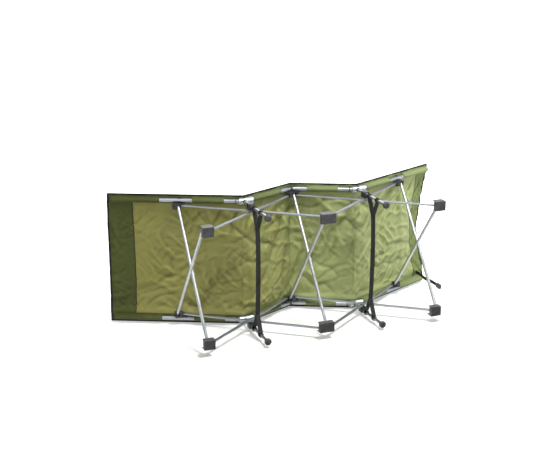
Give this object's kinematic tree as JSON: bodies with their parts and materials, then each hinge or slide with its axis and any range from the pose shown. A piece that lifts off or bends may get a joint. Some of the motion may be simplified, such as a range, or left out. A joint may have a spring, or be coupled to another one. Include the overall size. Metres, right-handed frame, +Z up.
{
  "type": "folding cot",
  "caption": "Folding camp cot with crossed tube legs, hinged side rails that fold in a zigzag, sliding posts and a slack fabric bed.",
  "frame": {"origin": "centre of the object's outline, on the floor under its feet", "axes": "+X along the bed towards its short overhang, +Y to its left side, +Z up, away from the floor"},
  "size_m": [1.8396, 0.6938, 0.6558],
  "materials": {
    "foot_plastic": "moulded charcoal plastic",
    "hub_plastic": "moulded black plastic",
    "strut_tube": "bright round tube",
    "side_bar": "matt flat oval tube",
    "rail_tube": "satin round tube",
    "head_metal": "cast and brushed",
    "post_tube": "bright round tube with black rings and a rubber foot",
    "bed_fabric": "coated olive polyester",
    "hem_fabric": "woven olive polyester",
    "webbing": "black polypropylene webbing",
    "buckle_plastic": "black acetal"
  },
  "bodies": {
    "foot_left_2": {"foot_left_2": "foot_plastic"},
    "cross_strut_2_a": {"cross_strut_2_a": "strut_tube"},
    "cross_strut_2_b": {"cross_strut_2_b": "strut_tube"},
    "hub_right_2": {"hub_right_2": "hub_plastic"},
    "hub_left_2": {"hub_left_2": "hub_plastic"},
    "foot_right_2": {"foot_right_2": "foot_plastic"},
    "side_strut_left_1_a": {"side_strut_left_1_a": "side_bar"},
    "side_strut_left_1_b": {"side_strut_left_1_b": "side_bar"},
    "hub_left_1": {"hub_left_1": "hub_plastic"},
    "foot_left_1": {"foot_left_1": "foot_plastic"},
    "side_strut_left_2_a": {"side_strut_left_2_a": "side_bar"},
    "side_strut_left_2_b": {"side_strut_left_2_b": "side_bar"},
    "hub_left_3": {"hub_left_3": "hub_plastic"},
    "foot_left_3": {"foot_left_3": "foot_plastic"},
    "side_strut_right_1_a": {"side_strut_right_1_a": "side_bar"},
    "side_strut_right_1_b": {"side_strut_right_1_b": "side_bar"},
    "hub_right_1": {"hub_right_1": "hub_plastic"},
    "foot_right_1": {"foot_right_1": "foot_plastic"},
    "side_strut_right_2_a": {"side_strut_right_2_a": "side_bar"},
    "side_strut_right_2_b": {"side_strut_right_2_b": "side_bar"},
    "hub_right_3": {"hub_right_3": "hub_plastic"},
    "foot_right_3": {"foot_right_3": "foot_plastic"},
    "cross_strut_1_a": {"cross_strut_1_a": "strut_tube"},
    "cross_strut_1_b": {"cross_strut_1_b": "strut_tube"},
    "cross_strut_3_a": {"cross_strut_3_a": "strut_tube"},
    "cross_strut_3_b": {"cross_strut_3_b": "strut_tube"},
    "rail_left_1": {"rail_left_1": "rail_tube", "bed_panel_1": "bed_fabric"},
    "post_left_1": {"post_left_1": "post_tube", "post_head_left_1": "head_metal", "spreader_strap_1": "webbing"},
    "slider_left_1": {"slider_left_1": "hub_plastic"},
    "rail_left_2": {"rail_left_2": "rail_tube", "bed_panel_2": "bed_fabric"},
    "rail_left_3": {"rail_left_3": "rail_tube", "bed_panel_3": "bed_fabric"},
    "post_left_2": {"post_left_2": "post_tube", "post_head_left_2": "head_metal", "spreader_strap_2": "webbing"},
    "slider_left_2": {"slider_left_2": "hub_plastic"},
    "rail_left_4": {"rail_left_4": "rail_tube", "bed_panel_4": "bed_fabric"},
    "rail_right_1": {"rail_right_1": "rail_tube", "right_hem_1": "hem_fabric"},
    "post_right_1": {"post_right_1": "post_tube", "post_head_right_1": "head_metal"},
    "slider_right_1": {"slider_right_1": "hub_plastic"},
    "rail_right_2": {"rail_right_2": "rail_tube", "right_hem_2": "hem_fabric"},
    "rail_right_3": {"rail_right_3": "rail_tube", "right_hem_3": "hem_fabric"},
    "post_right_2": {"post_right_2": "post_tube", "post_head_right_2": "head_metal"},
    "slider_right_2": {"slider_right_2": "hub_plastic"},
    "rail_right_4": {"rail_right_4": "rail_tube", "right_hem_4": "hem_fabric"},
    "storage_strap": {"storage_strap": "webbing", "buckle": "buckle_plastic"}
  },
  "joints": [
    {"name": "cot_fold", "type": "hinge", "parent": "foot_left_2", "child": "cross_strut_2_a", "pos_m": [0.04101, 0.29195, 0.029], "axis": [-1, 0, 0], "range_deg": [-5, 40], "deforming": ["bed_panel_1", "bed_panel_2", "bed_panel_3", "bed_panel_4", "right_hem_1", "right_hem_2", "right_hem_3", "right_hem_4", "spreader_strap_1", "spreader_strap_2"]},
    {"name": "cross_strut_2_b_centre_pivot", "type": "hinge", "parent": "cross_strut_2_a", "child": "cross_strut_2_b", "pos_m": [0.03261, 0, 0.25221], "axis": [-1, 0, 0], "range_deg": [-80.1, 10.1]},
    {"name": "hub_right_2_pivot", "type": "hinge", "parent": "cross_strut_2_a", "child": "hub_right_2", "pos_m": [0.04101, -0.29195, 0.47542], "axis": [-1, 0, 0], "range_deg": [-40.1, 5.1]},
    {"name": "hub_left_2_pivot", "type": "hinge", "parent": "cross_strut_2_b", "child": "hub_left_2", "pos_m": [0.02421, 0.29195, 0.47542], "axis": [-1, 0, 0], "range_deg": [-5.1, 40.1]},
    {"name": "foot_right_2_pivot", "type": "hinge", "parent": "cross_strut_2_b", "child": "foot_right_2", "pos_m": [0.02421, -0.29195, 0.029], "axis": [-1, 0, 0], "range_deg": [-5.1, 40.1]},
    {"name": "side_strut_left_1_a_foot_pivot", "type": "hinge", "parent": "foot_left_2", "child": "side_strut_left_1_a", "pos_m": [0.00461, 0.29195, 0.029], "axis": [0, 1, 0], "range_deg": [-5.1, 40.1]},
    {"name": "side_strut_left_1_b_centre_pivot", "type": "hinge", "parent": "side_strut_left_1_a", "child": "side_strut_left_1_b", "pos_m": [-0.28733, 0.29195, 0.25221], "axis": [0, 1, 0], "range_deg": [-80.1, 10.1]},
    {"name": "hub_left_1_pivot", "type": "hinge", "parent": "side_strut_left_1_a", "child": "hub_left_1", "pos_m": [-0.57928, 0.29195, 0.47542], "axis": [0, 1, 0], "range_deg": [-40.1, 5.1]},
    {"name": "foot_left_1_pivot", "type": "hinge", "parent": "side_strut_left_1_b", "child": "foot_left_1", "pos_m": [-0.57928, 0.29195, 0.029], "axis": [0, 1, 0], "range_deg": [-5.1, 40.1]},
    {"name": "side_strut_left_2_a_foot_pivot", "type": "hinge", "parent": "foot_left_2", "child": "side_strut_left_2_a", "pos_m": [0.06061, 0.29195, 0.029], "axis": [0, 1, 0], "range_deg": [-40.1, 5.1]},
    {"name": "side_strut_left_2_b_centre_pivot", "type": "hinge", "parent": "side_strut_left_2_a", "child": "side_strut_left_2_b", "pos_m": [0.35256, 0.29195, 0.25221], "axis": [0, 1, 0], "range_deg": [-10.1, 80.1]},
    {"name": "hub_left_3_pivot", "type": "hinge", "parent": "side_strut_left_2_a", "child": "hub_left_3", "pos_m": [0.64451, 0.29195, 0.47542], "axis": [0, 1, 0], "range_deg": [-5.1, 40.1]},
    {"name": "foot_left_3_pivot", "type": "hinge", "parent": "side_strut_left_2_b", "child": "foot_left_3", "pos_m": [0.64451, 0.29195, 0.029], "axis": [0, 1, 0], "range_deg": [-40.1, 5.1]},
    {"name": "side_strut_right_1_a_foot_pivot", "type": "hinge", "parent": "foot_right_2", "child": "side_strut_right_1_a", "pos_m": [0.00461, -0.29195, 0.029], "axis": [0, 1, 0], "range_deg": [-5.1, 40.1]},
    {"name": "side_strut_right_1_b_centre_pivot", "type": "hinge", "parent": "side_strut_right_1_a", "child": "side_strut_right_1_b", "pos_m": [-0.28733, -0.29195, 0.25221], "axis": [0, 1, 0], "range_deg": [-80.1, 10.1]},
    {"name": "hub_right_1_pivot", "type": "hinge", "parent": "side_strut_right_1_a", "child": "hub_right_1", "pos_m": [-0.57928, -0.29195, 0.47542], "axis": [0, 1, 0], "range_deg": [-40.1, 5.1]},
    {"name": "foot_right_1_pivot", "type": "hinge", "parent": "side_strut_right_1_b", "child": "foot_right_1", "pos_m": [-0.57928, -0.29195, 0.029], "axis": [0, 1, 0], "range_deg": [-5.1, 40.1]},
    {"name": "side_strut_right_2_a_foot_pivot", "type": "hinge", "parent": "foot_right_2", "child": "side_strut_right_2_a", "pos_m": [0.06061, -0.29195, 0.029], "axis": [0, 1, 0], "range_deg": [-40.1, 5.1]},
    {"name": "side_strut_right_2_b_centre_pivot", "type": "hinge", "parent": "side_strut_right_2_a", "child": "side_strut_right_2_b", "pos_m": [0.35256, -0.29195, 0.25221], "axis": [0, 1, 0], "range_deg": [-10.1, 80.1]},
    {"name": "hub_right_3_pivot", "type": "hinge", "parent": "side_strut_right_2_a", "child": "hub_right_3", "pos_m": [0.64451, -0.29195, 0.47542], "axis": [0, 1, 0], "range_deg": [-5.1, 40.1]},
    {"name": "foot_right_3_pivot", "type": "hinge", "parent": "side_strut_right_2_b", "child": "foot_right_3", "pos_m": [0.64451, -0.29195, 0.029], "axis": [0, 1, 0], "range_deg": [-40.1, 5.1]},
    {"name": "cross_strut_1_a_foot_pivot", "type": "hinge", "parent": "foot_left_1", "child": "cross_strut_1_a", "pos_m": [-0.59888, 0.29195, 0.029], "axis": [-1, 0, 0], "range_deg": [-5.1, 40.1]},
    {"name": "cross_strut_1_b_centre_pivot", "type": "hinge", "parent": "cross_strut_1_a", "child": "cross_strut_1_b", "pos_m": [-0.60728, 0, 0.25221], "axis": [-1, 0, 0], "range_deg": [-80.1, 10.1]},
    {"name": "cross_strut_3_a_foot_pivot", "type": "hinge", "parent": "foot_left_3", "child": "cross_strut_3_a", "pos_m": [0.68091, 0.29195, 0.029], "axis": [-1, 0, 0], "range_deg": [-5.1, 40.1]},
    {"name": "cross_strut_3_b_centre_pivot", "type": "hinge", "parent": "cross_strut_3_a", "child": "cross_strut_3_b", "pos_m": [0.67251, 0, 0.25221], "axis": [-1, 0, 0], "range_deg": [-80.1, 10.1]},
    {"name": "rail_left_1_pivot", "type": "hinge", "parent": "hub_left_1", "child": "rail_left_1", "pos_m": [-0.58928, 0.32195, 0.48502], "axis": [0, 1, 0], "range_deg": [-6.52, 51.46]},
    {"name": "post_left_1_pivot", "type": "hinge", "parent": "rail_left_1", "child": "post_left_1", "pos_m": [-0.30333, 0.32195, 0.35138], "axis": [0, 1, 0], "range_deg": [-51.46, 6.52]},
    {"name": "slider_left_1_slide", "type": "slide", "parent": "post_left_1", "child": "slider_left_1", "axis": [0, 0, 1], "range_m": [-0.00521, 0.03822]},
    {"name": "rail_left_2_pivot", "type": "hinge", "parent": "hub_left_2", "child": "rail_left_2", "pos_m": [0.01461, 0.32195, 0.48502], "axis": [0, 1, 0], "range_deg": [-51.46, 6.52]},
    {"name": "rail_left_3_pivot", "type": "hinge", "parent": "hub_left_2", "child": "rail_left_3", "pos_m": [0.05061, 0.32195, 0.48502], "axis": [0, 1, 0], "range_deg": [-6.52, 51.46]},
    {"name": "post_left_2_pivot", "type": "hinge", "parent": "rail_left_3", "child": "post_left_2", "pos_m": [0.33656, 0.32195, 0.35138], "axis": [0, 1, 0], "range_deg": [-51.46, 6.52]},
    {"name": "slider_left_2_slide", "type": "slide", "parent": "post_left_2", "child": "slider_left_2", "axis": [0, 0, 1], "range_m": [-0.00521, 0.03822]},
    {"name": "rail_left_4_pivot", "type": "hinge", "parent": "hub_left_3", "child": "rail_left_4", "pos_m": [0.65451, 0.32195, 0.48502], "axis": [0, 1, 0], "range_deg": [-51.46, 6.52]},
    {"name": "rail_right_1_pivot", "type": "hinge", "parent": "hub_right_1", "child": "rail_right_1", "pos_m": [-0.58928, -0.32195, 0.48502], "axis": [0, 1, 0], "range_deg": [-6.52, 51.46]},
    {"name": "post_right_1_pivot", "type": "hinge", "parent": "rail_right_1", "child": "post_right_1", "pos_m": [-0.30333, -0.32195, 0.35138], "axis": [0, 1, 0], "range_deg": [-51.46, 6.52]},
    {"name": "slider_right_1_slide", "type": "slide", "parent": "post_right_1", "child": "slider_right_1", "axis": [0, 0, 1], "range_m": [-0.00521, 0.03822]},
    {"name": "rail_right_2_pivot", "type": "hinge", "parent": "hub_right_2", "child": "rail_right_2", "pos_m": [0.01461, -0.32195, 0.48502], "axis": [0, 1, 0], "range_deg": [-51.46, 6.52]},
    {"name": "rail_right_3_pivot", "type": "hinge", "parent": "hub_right_2", "child": "rail_right_3", "pos_m": [0.05061, -0.32195, 0.48502], "axis": [0, 1, 0], "range_deg": [-6.52, 51.46]},
    {"name": "post_right_2_pivot", "type": "hinge", "parent": "rail_right_3", "child": "post_right_2", "pos_m": [0.33656, -0.32195, 0.35138], "axis": [0, 1, 0], "range_deg": [-51.46, 6.52]},
    {"name": "slider_right_2_slide", "type": "slide", "parent": "post_right_2", "child": "slider_right_2", "axis": [0, 0, 1], "range_m": [-0.00521, 0.03822]},
    {"name": "rail_right_4_pivot", "type": "hinge", "parent": "hub_right_3", "child": "rail_right_4", "pos_m": [0.65451, -0.32195, 0.48502], "axis": [0, 1, 0], "range_deg": [-51.46, 6.52]},
    {"name": "storage_strap_swing", "type": "hinge", "parent": "rail_left_4", "child": "storage_strap", "pos_m": [0.86547, 0.28495, 0.59798], "axis": [0, 1, 0], "range_deg": [-6.52, 51.46]}
  ],
  "couplings": [
    {"joint": "cross_strut_2_b_centre_pivot", "follows": "cot_fold", "ratio": -2},
    {"joint": "hub_right_2_pivot", "follows": "cot_fold", "ratio": -1},
    {"joint": "hub_left_2_pivot", "follows": "cot_fold", "ratio": 1},
    {"joint": "foot_right_2_pivot", "follows": "cot_fold", "ratio": 1},
    {"joint": "side_strut_left_1_a_foot_pivot", "follows": "cot_fold", "ratio": 1},
    {"joint": "side_strut_left_1_b_centre_pivot", "follows": "cot_fold", "ratio": -2},
    {"joint": "hub_left_1_pivot", "follows": "cot_fold", "ratio": -1},
    {"joint": "foot_left_1_pivot", "follows": "cot_fold", "ratio": 1},
    {"joint": "side_strut_left_2_a_foot_pivot", "follows": "cot_fold", "ratio": -1},
    {"joint": "side_strut_left_2_b_centre_pivot", "follows": "cot_fold", "ratio": 2},
    {"joint": "hub_left_3_pivot", "follows": "cot_fold", "ratio": 1},
    {"joint": "foot_left_3_pivot", "follows": "cot_fold", "ratio": -1},
    {"joint": "side_strut_right_1_a_foot_pivot", "follows": "cot_fold", "ratio": 1},
    {"joint": "side_strut_right_1_b_centre_pivot", "follows": "cot_fold", "ratio": -2},
    {"joint": "hub_right_1_pivot", "follows": "cot_fold", "ratio": -1},
    {"joint": "foot_right_1_pivot", "follows": "cot_fold", "ratio": 1},
    {"joint": "side_strut_right_2_a_foot_pivot", "follows": "cot_fold", "ratio": -1},
    {"joint": "side_strut_right_2_b_centre_pivot", "follows": "cot_fold", "ratio": 2},
    {"joint": "hub_right_3_pivot", "follows": "cot_fold", "ratio": 1},
    {"joint": "foot_right_3_pivot", "follows": "cot_fold", "ratio": -1},
    {"joint": "cross_strut_1_a_foot_pivot", "follows": "cot_fold", "ratio": 1},
    {"joint": "cross_strut_1_b_centre_pivot", "follows": "cot_fold", "ratio": -2},
    {"joint": "cross_strut_3_a_foot_pivot", "follows": "cot_fold", "ratio": 1},
    {"joint": "cross_strut_3_b_centre_pivot", "follows": "cot_fold", "ratio": -2},
    {"joint": "rail_left_1_pivot", "follows": "cot_fold", "ratio": 1.284},
    {"joint": "post_left_1_pivot", "follows": "cot_fold", "ratio": -1.284},
    {"joint": "slider_left_1_slide", "follows": "cot_fold", "m_per_rad": 0.054026},
    {"joint": "rail_left_2_pivot", "follows": "cot_fold", "ratio": -1.284},
    {"joint": "rail_left_3_pivot", "follows": "cot_fold", "ratio": 1.284},
    {"joint": "post_left_2_pivot", "follows": "cot_fold", "ratio": -1.284},
    {"joint": "slider_left_2_slide", "follows": "cot_fold", "m_per_rad": 0.054026},
    {"joint": "rail_left_4_pivot", "follows": "cot_fold", "ratio": -1.284},
    {"joint": "rail_right_1_pivot", "follows": "cot_fold", "ratio": 1.284},
    {"joint": "post_right_1_pivot", "follows": "cot_fold", "ratio": -1.284},
    {"joint": "slider_right_1_slide", "follows": "cot_fold", "m_per_rad": 0.054026},
    {"joint": "rail_right_2_pivot", "follows": "cot_fold", "ratio": -1.284},
    {"joint": "rail_right_3_pivot", "follows": "cot_fold", "ratio": 1.284},
    {"joint": "post_right_2_pivot", "follows": "cot_fold", "ratio": -1.284},
    {"joint": "slider_right_2_slide", "follows": "cot_fold", "m_per_rad": 0.054026},
    {"joint": "rail_right_4_pivot", "follows": "cot_fold", "ratio": -1.284},
    {"joint": "storage_strap_swing", "follows": "cot_fold", "ratio": 1.284}
  ]
}
